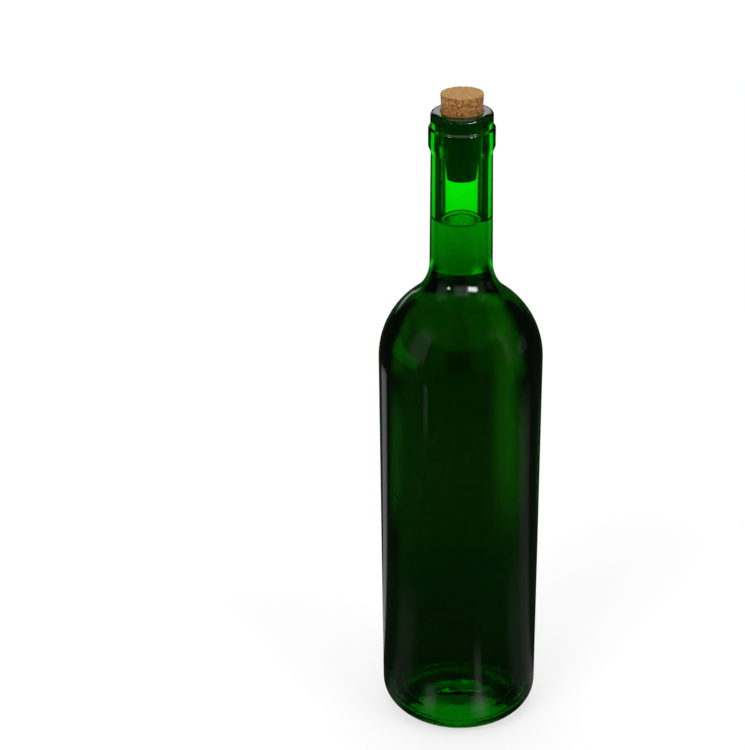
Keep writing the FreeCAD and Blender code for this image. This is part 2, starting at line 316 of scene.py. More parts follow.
def turned_mesh(name: str, outline: Sequence[Point], segments: int) -> bpy.types.Mesh:
    """Turn an outline round the upright axis into one closed mesh.

    Args:
        name: Name of the mesh.
        outline: Points in mm; the first and the last lie on the axis.
        segments: Faces round the axis.

    Returns:
        The mesh, in metres, with its faces pointing out.
    """
    shape = bmesh.new()
    rings: list[list[bmesh.types.BMVert]] = []
    for across, height in outline:
        if across < ON_AXIS:
            rings.append([shape.verts.new((0.0, 0.0, height * MM))] * segments)
            continue
        ring = []
        for number in range(segments):
            angle = 2 * math.pi * number / segments
            place = (across * MM * math.cos(angle), across * MM * math.sin(angle), height * MM)
            ring.append(shape.verts.new(place))
        rings.append(ring)
    for lower, upper in zip(rings, rings[1:]):
        for number in range(segments):
            other = (number + 1) % segments
            corners = [lower[number], lower[other], upper[other], upper[number]]
            corners = list(dict.fromkeys(corners))
            if len(corners) > 2:
                shape.faces.new(corners).smooth = True
    bmesh.ops.recalc_face_normals(shape, faces=shape.faces)
    return mesh_of(name, shape)


def new_piece(name: str, mesh: bpy.types.Mesh, material: bpy.types.Material) -> bpy.types.Object:
    """Put a mesh into the scene as a piece with one material.

    Args:
        name: Name of the piece.
        mesh: Its mesh.
        material: Its finish.

    Returns:
        The new object.
    """
    made = bpy.data.objects.new(name, mesh)
    bpy.context.scene.collection.objects.link(made)
    made.data.materials.clear()
    made.data.materials.append(material)
    return made


def settle(piece: bpy.types.Object) -> None:
    """Turn a piece's modifiers into its plain mesh, with no modifier left.

    Args:
        piece: An object whose modifiers are set up.
    """
    bpy.context.view_layer.update()
    evaluated = piece.evaluated_get(bpy.context.evaluated_depsgraph_get())
    made = bpy.data.meshes.new_from_object(evaluated)
    piece.modifiers.clear()
    old = piece.data
    piece.data = made
    bpy.data.meshes.remove(old)
    made.name = piece.name


def hand_over(piece: bpy.types.Object, node: str) -> None:
    """Tell the frame what a finished piece rides on and stands for.

    Args:
        piece: The finished piece.
        node: The CAD node that it replaces.
    """
    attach(piece, BODY)
    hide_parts(node)
    LOG.info("%s: %d faces in place of node %s", piece.name, len(piece.data.polygons), node)


# ---------------------------------------------------------------------------------------------
# Finishes
# ---------------------------------------------------------------------------------------------


def new_material(name: str) -> tuple[bpy.types.Material, bpy.types.NodeTree, bpy.types.Node]:
    """Start a material with nothing but its output.

    Args:
        name: Name of the material.

    Returns:
        The material, its node tree and the output node.
    """
    made = bpy.data.materials.new(name)
    made.use_nodes = True
    made.node_tree.nodes.clear()
    output = add_node(made.node_tree, "ShaderNodeOutputMaterial")
    return made, made.node_tree, output


def clear_material(
    name: str, passes: str, absorbs_per_metre: float, refraction: float
) -> bpy.types.Material:
    """Build a clear material: a mirror-smooth face over a body that darkens with its depth.

    Args:
        name: Name of the material.
        passes: The sRGB hex colour that the body lets through.
        absorbs_per_metre: How fast the body takes the rest away.
        refraction: How strongly it bends light.

    Returns:
        The material.
    """
    made, tree, output = new_material(name)
    surface = add_node(tree, "ShaderNodeBsdfPrincipled", None, {
        "Base Color": linear("ffffff"),
        "Roughness": 0.0,
        "IOR": refraction,
        "Transmission Weight": 1.0,
    })
    body = add_node(tree, "ShaderNodeVolumeAbsorption", None, {
        "Color": linear(passes),
        "Density": absorbs_per_metre,
    })
    tree.links.new(surface.outputs["BSDF"], output.inputs["Surface"])
    tree.links.new(body.outputs["Volume"], output.inputs["Volume"])
    return made


@dataclass(frozen=True)
class BottleGlass:
    """Green soda-lime bottle glass, blown in a mould: clear, glossy like a liquid, and deepest where it is
    thick.
    """

    name: str = "green_bottle_glass"
    passes: str = "70fa0a"
    absorbs_per_metre: float = 1000.0
    refraction: float = 1.52

    def make(self) -> bpy.types.Material:
        """Build the material: the green lies in the body of the glass, so thick walls read darker."""
        return clear_material(self.name, self.passes, self.absorbs_per_metre, self.refraction)


@dataclass(frozen=True)
class RedWine:
    """Young red wine: clear and deep, so that a full bottle reads nearly black and the neck still glows."""

    name: str = "red_wine"
    passes: str = "edb359"
    absorbs_per_metre: float = 100.0
    refraction: float = 1.34

    def make(self) -> bpy.types.Material:
        """Build the material: a liquid face over a body that warms and darkens what is behind it."""
        return clear_material(self.name, self.passes, self.absorbs_per_metre, self.refraction)


@dataclass(frozen=True)
class PressedCork:
    """Pressed cork granules, cut and unvarnished: matt tan, speckled, paler on the cut end.

    The part in the bore is squeezed and painted one paler tone: painted light, which brightens it as seen
    through the glass.
    A strength says how far a colour covers those below it, and a pair of bounds where it comes and goes.
    """

    name: str = "pressed_cork"
    pale: str = "b5854c"
    middle: str = "975f2b"
    dark: str = "6b3d18"
    glue: str = "4c290f"
    cut_end: str = "c29f62"
    # painted light: a paler tone for the cork in the bore, so that it reads brighter through the glass
    bore_light: str = "b0804a"
    granule_mm: float = 1.0
    speck_mm: float = 0.35
    wander_mm: float = 0.5
    bump_mm: float = 0.12
    bump_strength: float = 0.6
    roughness: float = 0.88
    granule_share: float = 0.6
    grain_share: float = 0.4
    dark_at: float = 0.18
    middle_at: float = 0.42
    pale_at: float = 0.75
    seam_width: float = 0.09
    seam_strength: float = 0.55
    speck_bounds: Point = (0.34, 0.42)
    speck_strength: float = 0.75
    end_bounds_mm: Point = (-0.6, -0.2)
    end_strength: float = 0.55
    bore_light_bounds_mm: Point = (-0.4, 0.3)
    bore_light_strength: float = 0.93

    def make(self, mouth: float, top: float) -> bpy.types.Material:
        """Build the material: granules in three tones, glue lines, dark specks and a rough surface.

        Args:
            mouth: Height of the bottle's mouth, in mm.
            top: Height of the cork's cut end, in mm.

        Returns:
            The material.
        """
        made, tree, output = new_material(self.name)
        place = add_node(tree, "ShaderNodeTexCoord").outputs["Object"]
        height = add_node(tree, "ShaderNodeSeparateXYZ", None, {0: place}).outputs[2]
        wander = add_node(tree, "ShaderNodeTexNoise", None, {
            "Vector": place, "Scale": 1 / (2 * self.granule_mm * MM), "Detail": 3.0})
        shift = scaled(tree, wander.outputs["Color"], self.wander_mm * MM)
        bent = add_node(tree, "ShaderNodeVectorMath", {"operation": "ADD"}, {0: place, 1: shift}).outputs[0]
        granules = add_node(tree, "ShaderNodeTexVoronoi", None, {
            "Vector": bent, "Scale": 1 / (self.granule_mm * MM)})
        edges = add_node(tree, "ShaderNodeTexVoronoi", {"feature": "DISTANCE_TO_EDGE"}, {
            "Vector": bent, "Scale": 1 / (self.granule_mm * MM)})
        grain = add_node(tree, "ShaderNodeTexNoise", None, {
            "Vector": place, "Scale": 1 / (self.speck_mm * MM), "Detail": 4.0, "Roughness": 0.7}).outputs[0]
        own_tone = add_node(tree, "ShaderNodeSeparateColor", None, {0: granules.outputs["Color"]}).outputs[0]
        from_granule = maths(tree, "MULTIPLY", own_tone, self.granule_share)
        tone = maths(tree, "ADD", from_granule, maths(tree, "MULTIPLY", grain, self.grain_share))
        ramp = add_node(tree, "ShaderNodeValToRGB", None, {0: tone})
        stops = ramp.color_ramp.elements
        stops[0].position, stops[0].color = self.dark_at, linear(self.dark)
        stops[1].position, stops[1].color = self.pale_at, linear(self.pale)
        stops.new(self.middle_at).color = linear(self.middle)

        seam = ramp_between(tree, edges.outputs["Distance"], 0.0, self.seam_width, self.seam_strength, 0.0)
        speck = ramp_between(tree, grain, *self.speck_bounds, self.speck_strength, 0.0)
        end_low, end_high = ((top + bound) * MM for bound in self.end_bounds_mm)
        end = ramp_between(tree, height, end_low, end_high, 0.0, self.end_strength)
        # Below the mouth, painted light: the cork in the bore takes the paler tone that brightens it behind
        # the glass.
        bore_light_low, bore_light_high = ((mouth + bound) * MM for bound in self.bore_light_bounds_mm)
        bore_light = ramp_between(tree, height, bore_light_low, bore_light_high, self.bore_light_strength, 0.0)
        colour = ramp.outputs["Color"]
        for amount, other in ((end, self.cut_end), (seam, self.glue), (speck, self.glue), (bore_light, self.bore_light)):
            colour = add_node(tree, "ShaderNodeMix", {"data_type": "RGBA"}, {
                0: amount, 6: colour, 7: linear(other)}).outputs[2]

        relief = maths(tree, "SUBTRACT", grain, seam)
        bump = add_node(tree, "ShaderNodeBump", None, {
            "Strength": self.bump_strength, "Distance": self.bump_mm * MM, "Height": relief})
        surface = add_node(tree, "ShaderNodeBsdfPrincipled", None, {
            "Base Color": colour, "Roughness": self.roughness, "Normal": bump.outputs[0]})
        tree.links.new(surface.outputs["BSDF"], output.inputs["Surface"])
        return made


# ---------------------------------------------------------------------------------------------
# The bottle, the wine and the cork
# ---------------------------------------------------------------------------------------------


def touch_angle(one: Point, other: Point) -> float:
    """Angle at which a circle round the first point meets one round the other that it touches."""
    return math.atan2(other[1] - one[1], other[0] - one[0])


@dataclass
class GlassSizes:
    """Sizes of the glass in mm; the frame gives its width and height."""

    radius: float
    mouth: float
    straight: float = 187.0
    shoulder: float = 38.0
    sweep: float = 20.0
    neck_foot: float = 14.05
    neck_top: float = 13.45
    neck_rest: float = 3.0
    neck_rest_taper: float = 0.9
    lip: float = 13.6
    lip_height: float = 6.6
    lip_round: float = 2.0
    band: float = 14.55
    band_step: float = 0.7
    band_height: float = 8.0
    band_taper: float = 3.0
    band_round: float = 0.5
    slope_round: float = 0.8
    heel: float = 11.0
    ring: float = 3.5
    punt_depth: float = 20.0
    punt_edge: float = 5.0
    wall: float = 2.9
    bore: float = 9.0
    bore_rest: float = 1.0
    mouth_round: float = 0.8
    inner_sweep: float = 24.0
    floor: float = 5.0
    punt_wall: float = 4.5

    def punt(self) -> tuple[float, float]:
        """Work out the dome under the base.

        Returns:
            Its radius and the height of its centre.
        """
        inner = self.radius - self.heel - self.ring
        depth = self.punt_depth
        radius = (inner ** 2 + depth ** 2 - 2 * depth * self.punt_edge) / (2 * depth)
        return radius, depth - radius

    def sweep_centre(self, neck: float, sweep: float, shoulder: float, wall: float) -> Point:
        """Centre of the hollow curve that touches the neck and the shoulder.

        Args:
            neck: Radius of the neck at the curve's end.
            sweep: Radius of the hollow curve.
            shoulder: Radius of the shoulder's round.
            wall: Radius of the straight body.

        Returns:
            The centre.
        """
        across = neck + sweep
        return across, self.straight + math.sqrt((shoulder + sweep) ** 2 - (across - wall + shoulder) ** 2)

    def outside(self) -> Outline:
        """Follow the outside from the top of the punt down and round, and up to the mouth's flat.

        Returns:
            The outline.
        """
        outline = Outline()
        dome, middle = self.punt()
        ring_outer = self.radius - self.heel
        edge = (ring_outer - self.ring, self.punt_edge)
        meet = touch_angle((0, middle), edge)
        outline.arc((0, middle), dome, math.pi / 2, meet, step=DOME_STEP)
        outline.arc(edge, self.punt_edge, math.pi + meet, 1.5 * math.pi)
        outline.straight(ring_outer, 0, margin=0.4, rows=3)
        outline.arc((ring_outer, self.heel), self.heel, -math.pi / 2, 0)
        outline.straight(self.radius, self.straight, margin=2.0, rows=4)

        shoulder_at = (self.radius - self.shoulder, self.straight)
        sweep_at = self.sweep_centre(self.neck_foot, self.sweep, self.shoulder, self.radius)
        rise = touch_angle(shoulder_at, sweep_at)
        outline.arc(shoulder_at, self.shoulder, 0, rise)
        outline.arc(sweep_at, self.sweep, math.pi + rise, math.pi)

        lip_foot = self.mouth - self.lip_height
        band_top = lip_foot - self.band_step
        band_foot = band_top - self.band_height
        neck_end = band_foot - self.band_taper
        under_band = self.neck_foot + (self.neck_top - self.neck_foot) * self.neck_rest_taper
        outline.straight(under_band, neck_end - self.neck_rest)
        outline.corner((self.neck_top, neck_end), (self.band, band_foot), self.slope_round)
        outline.corner((self.band, band_foot), (self.band, band_top), self.band_round)
        outline.corner((self.band, band_top), (self.lip, lip_foot), self.band_round)
        outline.corner((self.lip, lip_foot), (self.lip, self.mouth), self.slope_round / 2)
        outline.corner((self.lip, self.mouth), (0, self.mouth), self.lip_round, steps=12)
        return outline

    def inside(self, top: float, reach: float = 0.0) -> Outline:
        """Follow the inside from its dome out and up the bore.

        Args:
            top: Height at which the bore is left.
            reach: How far the outline lies inside the glass.

        Returns:
            The outline.
        """
        outline = Outline()
        radius = self.radius - self.wall + reach
        under, middle = self.punt()
        dome = under + self.punt_wall - reach
        floor = self.floor - reach
        height = floor - middle
        reachable = radius + dome - height
        trough = reachable - math.sqrt(reachable ** 2 - (radius ** 2 + height ** 2 - dome ** 2))
        trough_at = (radius - trough, floor + trough)
        meet = touch_angle((0, middle), trough_at)
        outline.arc((0, middle), dome, math.pi / 2, meet, step=DOME_STEP)
        outline.arc(trough_at, trough, math.pi + meet, 2 * math.pi)
        outline.straight(radius, self.straight, margin=2.0, rows=4)

        bore = self.bore + reach
        shoulder = self.shoulder - self.wall + reach
        sweep = self.inner_sweep - reach
        shoulder_at = (radius - shoulder, self.straight)
        sweep_at = self.sweep_centre(bore, sweep, shoulder, radius)
        rise = touch_angle(shoulder_at, sweep_at)
        outline.arc(shoulder_at, shoulder, 0, rise)
        outline.arc(sweep_at, sweep, math.pi + rise, math.pi)
        outline.straight(bore, top)
        return outline


@dataclass(frozen=True)
class Knurls:
    """Marks of the mould under the bottle: grooves round the standing ring, and a stippled punt."""

    count: int = 45
    depth_mm: float = 0.3
    inner_mm: float = 23.0
    outer_mm: float = 26.1
    edge_mm: float = 0.5
    face_bounds_mm: Point = (0.1, 0.6)
    stipple_mm: float = 2.2
    stipple_depth_mm: float = 0.35
    stipple_top_mm: Point = (22.0, 24.0)
    underside: Point = (-0.3, -0.1)

    def tree(self) -> bpy.types.NodeTree:
        """Write the rule that sinks the grooves and the stipple, whatever their number and depth.

        Returns:
            The Geometry Nodes tree.
        """
        tree, given = new_rule("knurled_ring", {
            "Count": "NodeSocketFloat",
            "Depth": "NodeSocketFloat",
            "Inner": "NodeSocketFloat",
            "Outer": "NodeSocketFloat",
            "Edge": "NodeSocketFloat",
            "Stipple": "NodeSocketFloat",
            "Stipple Depth": "NodeSocketFloat",
            "Material": "NodeSocketMaterial",
        })
        inputs = given.outputs
        place = add_node(tree, "GeometryNodeInputPosition").outputs[0]
        x, y, z = add_node(tree, "ShaderNodeSeparateXYZ", None, {0: place}).outputs
        flat = add_node(tree, "ShaderNodeCombineXYZ", None, {0: x, 1: y}).outputs[0]
        across = length_of(tree, flat)
        outward = add_node(tree, "GeometryNodeInputNormal").outputs[0]

        facing_up = add_node(tree, "ShaderNodeSeparateXYZ", None, {0: outward}).outputs[2]
        underside = ramp_between(tree, facing_up, *self.underside, 1.0, 0.0)
        from_edge = maths(tree, "SUBTRACT", inputs["Inner"], across)
        within = ramp_between(tree, from_edge, 0.0, inputs["Edge"])
        low_top, high_top = (bound * MM for bound in self.stipple_top_mm)
        near_base = ramp_between(tree, z, low_top, high_top, 1.0, 0.0)
        hollow = maths(tree, "MULTIPLY", maths(tree, "MULTIPLY", underside, near_base), within)
        bumps = add_node(tree, "ShaderNodeTexNoise", None, {
            "Vector": place, "Scale": maths(tree, "DIVIDE", 1.0, inputs["Stipple"]), "Detail": 1.0})
        marked = maths(tree, "MULTIPLY", bumps.outputs[0], hollow)
        pushed = maths(tree, "MULTIPLY", marked, inputs["Stipple Depth"])
        stippled = add_node(tree, "GeometryNodeSetPosition", None, {
            "Geometry": inputs["Geometry"],
            "Offset": scaled(tree, outward, maths(tree, "MULTIPLY", pushed, -1.0)),
        }).outputs[0]

        turn = maths(tree, "MULTIPLY", maths(tree, "ARCTAN2", y, x), inputs["Count"])
        wave = maths(tree, "MAXIMUM", maths(tree, "COSINE", turn), 0.0)
        from_inner = maths(tree, "SUBTRACT", across, inputs["Inner"])
        from_outer = maths(tree, "SUBTRACT", inputs["Outer"], across)
        nearest = maths(tree, "MINIMUM", from_inner, from_outer)
        inside = ramp_between(tree, nearest, 0.0, inputs["Edge"])
        face_low, face_high = (bound * MM for bound in self.face_bounds_mm)
        on_face = ramp_between(tree, z, face_low, face_high, 1.0, 0.0)
        depth = maths(tree, "MULTIPLY", on_face, inputs["Depth"])
        rise = maths(tree, "MULTIPLY", maths(tree, "MULTIPLY", wave, inside), depth)
        offset = add_node(tree, "ShaderNodeCombineXYZ", None, {2: rise}).outputs[0]
        sunk = add_node(tree, "GeometryNodeSetPosition", None, {"Geometry": stippled, "Offset": offset})
        end_rule(tree, sunk.outputs[0], inputs["Material"])
        return tree

    def sink(self, piece: bpy.types.Object, material: bpy.types.Material) -> None:
        """Sink the marks into a piece that stands on z = 0.

        Args:
            piece: The smooth bottle.
            material: Its finish.
        """
        apply_rule(piece, self.tree(), {
            "Count": float(self.count),
            "Depth": self.depth_mm * MM,
            "Inner": self.inner_mm * MM,
            "Outer": self.outer_mm * MM,
            "Edge": self.edge_mm * MM,
            "Stipple": self.stipple_mm * MM,
            "Stipple Depth": self.stipple_depth_mm * MM,
            "Material": material,
        })


@dataclass
class Glass:
    """The bottle: one turned shell with its finish, punt and knurled standing ring."""

    sizes: GlassSizes
    finish: BottleGlass = field(default_factory=BottleGlass)
    knurls: Knurls = field(default_factory=Knurls)
    segments: int = 270

    def outline(self) -> list[Point]:
        """Draw the whole outline, from the punt round the outside and back down the inside.

        Returns:
            Its points, in mm.
        """
        sizes = self.sizes
        outer = sizes.outside()
        outer.corner((sizes.bore, sizes.mouth), (sizes.bore, 0), sizes.mouth_round, steps=6)
        inner = sizes.inside(sizes.mouth - sizes.mouth_round - sizes.bore_rest)
        return outer.points + inner.points[::-1]

    def build(self) -> bpy.types.Object:
        """Make the piece and hand it over.

        Returns:
            The piece.
        """
        material = self.finish.make()
        mesh = turned_mesh("glass_bottle", self.outline(), self.segments)
        piece = new_piece("glass_bottle", mesh, material)
        self.knurls.sink(piece, material)
        hand_over(piece, "bottle")
        return piece


@dataclass
class Filling:
    """The wine, with sizes in mm; it reaches just into the wall so that no air shows between them.

    Its surface climbs at the wall, to a small drop under the top of the node that it replaces.
    """

    sizes: GlassSizes
    top: float
    drop: float = 1.0
    climb: float = 1.2
    curve: float = 2.6
    reach: float = 0.2
    finish: RedWine = field(default_factory=RedWine)
    segments: int = 240

    def build(self) -> bpy.types.Object:
        """Make the piece, with its surface curved up to the glass, and hand it over.

        Returns:
            The piece.
        """
        level = self.top - self.drop - self.climb
        outline = self.sizes.inside(level + self.climb, self.reach)
        span = math.sqrt(self.curve ** 2 - (self.curve - self.climb) ** 2)
        middle = (self.sizes.bore - span, level + self.curve)
        outline.arc(middle, self.curve, math.atan2(self.climb - self.curve, span), -math.pi / 2)
        outline.straight(0, level, rows=3)
        mesh = turned_mesh("wine", outline.points, self.segments)
        piece = new_piece("wine_filling", mesh, self.finish.make())
        hand_over(piece, "wine")
        return piece


@dataclass(frozen=True)
class Granules:
    """Granules in the cork's cut faces: hollows between them, loose flakes and a broken top edge."""

    size_mm: float = 0.9
    depth_mm: float = 0.16
    least_hollow: float = 0.5
    more_hollow: float = 0.6
    free_mm: float = 0.8
    edge_break_mm: float = 0.35
    edge_reach_mm: float = 1.2
    break_size: float = 0.7
    break_bounds: Point = (0.45, 0.62)
    flakes_per_mm2: float = 0.9
    flake_clear_of_edge_mm: float = 1.1
    flake_clear_of_mouth_mm: float = 1.2
    flake_radius: float = 0.5
    flake_least: tuple[float, float, float] = (0.4, 0.3, 0.06)
    flake_most: tuple[float, float, float] = (1.1, 0.8, 0.16)
    seed: int = 7

    def tree(self) -> bpy.types.NodeTree:
        """Write the rule that roughens a cork above the mouth and strews it with flakes.

        Returns:
            The Geometry Nodes tree.
        """
        tree, given = new_rule("cork_granules", {
            "Mouth": "NodeSocketFloat",
            "Top": "NodeSocketFloat",
            "Head": "NodeSocketFloat",
            "Size": "NodeSocketFloat",
            "Depth": "NodeSocketFloat",
            "Edge Break": "NodeSocketFloat",
            "Flakes": "NodeSocketFloat",
            "Seed": "NodeSocketInt",
            "Material": "NodeSocketMaterial",
        })
        inputs = given.outputs
        place = add_node(tree, "GeometryNodeInputPosition").outputs[0]
        x, y, z = add_node(tree, "ShaderNodeSeparateXYZ", None, {0: place}).outputs
        flat = add_node(tree, "ShaderNodeCombineXYZ", None, {0: x, 1: y}).outputs[0]
        across = length_of(tree, flat)
        outward = add_node(tree, "GeometryNodeInputNormal").outputs[0]
        over_mouth = maths(tree, "SUBTRACT", z, inputs["Mouth"])
        under_top = maths(tree, "SUBTRACT", inputs["Top"], z)
        in_from_side = maths(tree, "SUBTRACT", inputs["Head"], across)

        density = maths(tree, "DIVIDE", 1.0, inputs["Size"])
        cells = add_node(tree, "ShaderNodeTexVoronoi", None, {"Vector": place, "Scale": density})
        more = maths(tree, "MULTIPLY", cells.outputs["Distance"], self.more_hollow)
        hollow = maths(tree, "ADD", more, self.least_hollow)
        free = ramp_between(tree, over_mouth, 0.0, self.free_mm * MM)
        depth = maths(tree, "MULTIPLY", maths(tree, "MULTIPLY", hollow, free), inputs["Depth"])
        near_top = ramp_between(tree, under_top, 0.0, self.edge_reach_mm * MM, 1.0, 0.0)
        near_side = ramp_between(tree, in_from_side, 0.0, self.edge_reach_mm * MM, 1.0, 0.0)
        rim = maths(tree, "MULTIPLY", near_top, near_side)
        coarse = add_node(tree, "ShaderNodeTexNoise", None, {
            "Vector": place, "Scale": maths(tree, "MULTIPLY", density, self.break_size), "Detail": 3.0})
        broken = ramp_between(tree, coarse.outputs[0], *self.break_bounds)
        loss = maths(tree, "MULTIPLY", maths(tree, "MULTIPLY", rim, broken), inputs["Edge Break"])
        inward = maths(tree, "MULTIPLY", maths(tree, "ADD", depth, loss), -1.0)
        rough = add_node(tree, "GeometryNodeSetPosition", None, {
            "Geometry": inputs["Geometry"], "Offset": scaled(tree, outward, inward)}).outputs[0]

        off_edge = maths(tree, "MAXIMUM", under_top, in_from_side)
        clear_of_edge = maths(tree, "GREATER_THAN", off_edge, self.flake_clear_of_edge_mm * MM)
        clear_of_mouth = maths(tree, "GREATER_THAN", over_mouth, self.flake_clear_of_mouth_mm * MM)
        clear = maths(tree, "MULTIPLY", clear_of_edge, clear_of_mouth)
        strewing = maths(tree, "MULTIPLY", inputs["Flakes"], clear)
        spots = add_node(tree, "GeometryNodeDistributePointsOnFaces", None, {
            "Mesh": rough, "Density": strewing, "Seed": inputs["Seed"]})
        flake = add_node(tree, "GeometryNodeMeshIcoSphere", None, {
            "Radius": maths(tree, "MULTIPLY", inputs["Size"], self.flake_radius), "Subdivisions": 2})
        sizes = add_node(tree, "FunctionNodeRandomValue", {"data_type": "FLOAT_VECTOR"}, {
            0: self.flake_least, 1: self.flake_most, "Seed": inputs["Seed"]})
        strewn = add_node(tree, "GeometryNodeInstanceOnPoints", None, {
            "Points": spots.outputs["Points"],
            "Instance": flake.outputs[0],
            "Rotation": spots.outputs["Rotation"],
            "Scale": sizes.outputs[0],
        })
        turns = add_node(tree, "FunctionNodeRandomValue", None, {2: 0.0, 3: math.tau, "Seed": inputs["Seed"]})
        spin = add_node(tree, "ShaderNodeCombineXYZ", None, {2: turns.outputs[1]}).outputs[0]
        spun = add_node(tree, "GeometryNodeRotateInstances", None, {
            "Instances": strewn.outputs[0], "Rotation": spin}).outputs[0]
        joined = add_node(tree, "GeometryNodeJoinGeometry")
        tree.links.new(rough, joined.inputs[0])
        tree.links.new(spun, joined.inputs[0])
        end_rule(tree, joined.outputs[0], inputs["Material"])
        return tree

    def roughen(self, piece: bpy.types.Object, stopper: "Stopper", material: bpy.types.Material) -> None:
        """Roughen a smooth cork where it stands free.

        Args:
            piece: The smooth cork.
            stopper: Gives its sizes.
            material: Its finish.
        """
        apply_rule(piece, self.tree(), {
            "Mouth": stopper.mouth * MM,
            "Top": stopper.high * MM,
            "Head": stopper.head * MM,
            "Size": self.size_mm * MM,
            "Depth": self.depth_mm * MM,
            "Edge Break": self.edge_break_mm * MM,
            "Flakes": self.flakes_per_mm2 / MM ** 2,
            "Seed": self.seed,
            "Material": material,
        })


@dataclass
class Stopper:
    """The tapered cork, with sizes in mm; the bore squeezes it, and it reaches just into the wall."""

    low: float
    high: float
    mouth: float
    bore: float
    head: float
    foot: float = 6.4
    seat: float = 4.0
    edge: float = 0.5
    foot_rest: float = 1.5
    head_rest: float = 1.2
    spring: float = 0.6
    reach: float = 0.12
    finish: PressedCork = field(default_factory=PressedCork)
    granules: Granules = field(default_factory=Granules)
    segments: int = 200

    def outline(self) -> list[Point]:
        """Draw the cork's side, with rows close enough for its granules.

        Returns:
            Its points, in mm.
        """
        squeezed = self.bore + self.reach
        outline = Outline()
        outline.to(0, self.low)
        outline.straight(self.foot - self.foot_rest, self.low, margin=0.4, rows=8)
        outline.corner((self.foot, self.low), (self.bore, self.mouth - self.seat), self.edge)
        outline.straight(squeezed, self.mouth - self.seat, margin=0.4, rows=40)
        outline.straight(squeezed, self.mouth - self.spring, margin=0.4, rows=6)
        outline.straight(self.bore, self.mouth, margin=0.1, rows=1)
        outline.straight(self.head, self.high - self.head_rest, margin=0.4, rows=16)
        outline.corner((self.head, self.high), (0, self.high), self.edge)
        outline.straight(0, self.high, margin=0.4, rows=24)
        return outline.points

    def build(self) -> bpy.types.Object:
        """Make the piece and hand it over.

        Returns:
            The piece.
        """
        material = self.finish.make(self.mouth, self.high)
        mesh = turned_mesh("cork", self.outline(), self.segments)
        piece = new_piece("cork_stopper", mesh, material)
        self.granules.roughen(piece, self, material)
        hand_over(piece, "cork")
        return piece


# ---------------------------------------------------------------------------------------------
# Studio and camera
# ---------------------------------------------------------------------------------------------


class Sight(Enum):
    """The two ways in which glass shows the room."""

    BENT = "bent through the bottle"
    MIRRORED = "mirrored on its face"


@dataclass(frozen=True)
class Glow:
    """A lit patch of the room, seen from the bottle: the way it lies, its extent and its strength.

    Its way is an angle in degrees, 0 in front of the bottle and 90 on its right. Its other extent
    is a distance in metres for a patch of the floor and an elevation in degrees for one above it.
    The edges say how softly it ends at its sides and at both ends of its extent.
    """

    way: float
    half_width: float
    low: float
    high: float
    strength: float
    side_edge: float
    end_edge: float

    def level(
        self, tree: bpy.types.NodeTree, way: bpy.types.NodeSocket, extent: bpy.types.NodeSocket
    ) -> bpy.types.NodeSocket:
        """Add this patch's brightness to a tree.

        Args:
            tree: The tree of the floor or the world.
            way: The angle of the place that is shaded.
            extent: Its distance or elevation.

        Returns:
            The socket that holds the patch's brightness there.
        """
        turned = maths(tree, "WRAP", maths(tree, "SUBTRACT", way, self.way), 180.0, -180.0)
        aside = maths(tree, "ABSOLUTE", turned)
        near, far = self.half_width - self.side_edge, self.half_width + self.side_edge
        side = ramp_between(tree, aside, near, far, self.strength, 0.0)
        lower = ramp_between(tree, extent, self.low - self.end_edge, self.low + self.end_edge)
        upper = ramp_between(tree, extent, self.high - self.end_edge, self.high + self.end_edge, 1.0, 0.0)
        return maths(tree, "MULTIPLY", side, maths(tree, "MULTIPLY", lower, upper))


# Each row gives way, half width, low, high, strength, side edge and end edge. Its comment says where
# the patch lies or what it gives the bottle.
FLOOR_GLOWS: Mapping[Sight, tuple[Glow, ...]] = {
    Sight.BENT: (
        Glow(180, 22, 0.13, 9.0, 0.42, 4.0, 0.04),     # the floor behind, which lights the whole neck
        Glow(180, 20, 0.60, 9.0, 0.88, 2.5, 0.10),     # its far part, bright in the empty neck
        Glow(180, 22, 0.18, 0.30, 0.22, 9.0, 0.04),    # a lighter upper body
        Glow(-157, 5, 0.19, 0.32, 1.3, 5.5, 0.05),     # green down the right edge of the upper body
        Glow(152, 5, 0.18, 0.32, 1.25, 4.0, 0.04),     # green down its left edge
        Glow(180, 40, 0.05, 0.13, 0.15, 6.0, 0.02),    # a lighter lower body
        Glow(0, 105, -1.0, 0.034, 0.34, 55.0, 0.012),  # the floor under the punt, in the heel
        Glow(0, 181, -1.0, 0.034, 0.08, 0.5, 0.012),   # the same, faintly all round
        Glow(0, 95, 0.08, 9.0, 0.10, 10.0, 0.04),      # depth in the dark of the body
        Glow(-165, 4, 0.20, 0.38, 1.2, 3.0, 0.06),     # the strip down the right of the body
        Glow(68, 16, 0.3, 9.0, 0.32, 12.0, 0.1),       # a softer side to that strip
        Glow(-90, 25, 1.2, 9.0, 0.6, 5.0, 0.2),        # the far floor on the left
    ),
    Sight.MIRRORED: (
        Glow(100, 11, 0.0, 0.36, 0.10, 6.0, 0.05),     # the grey veil down the right edge
        Glow(78, 10, 0.0, 0.16, 0.07, 8.0, 0.05),      # its wider foot
        Glow(-132, 9, 0.03, 0.40, 0.4, 3.0, 0.03),     # the pale line down the left edge
        Glow(-47, 3, 0.34, 0.5, 0.2, 1.5, 0.03),       # a short streak left of the middle
        Glow(23, 4, 0.055, 0.105, 0.3, 2.5, 0.02),     # a streak over the heel
        Glow(23, 8, 0.055, 0.070, 0.4, 5.0, 0.008),    # its broad end on the heel
        Glow(-31, 6, 0.055, 0.072, 0.4, 4.0, 0.008),   # a second spot on the heel
        Glow(-72, 14, 0.0, 0.14, 0.07, 8.0, 0.03),     # a faint veil low on the left
    ),
}
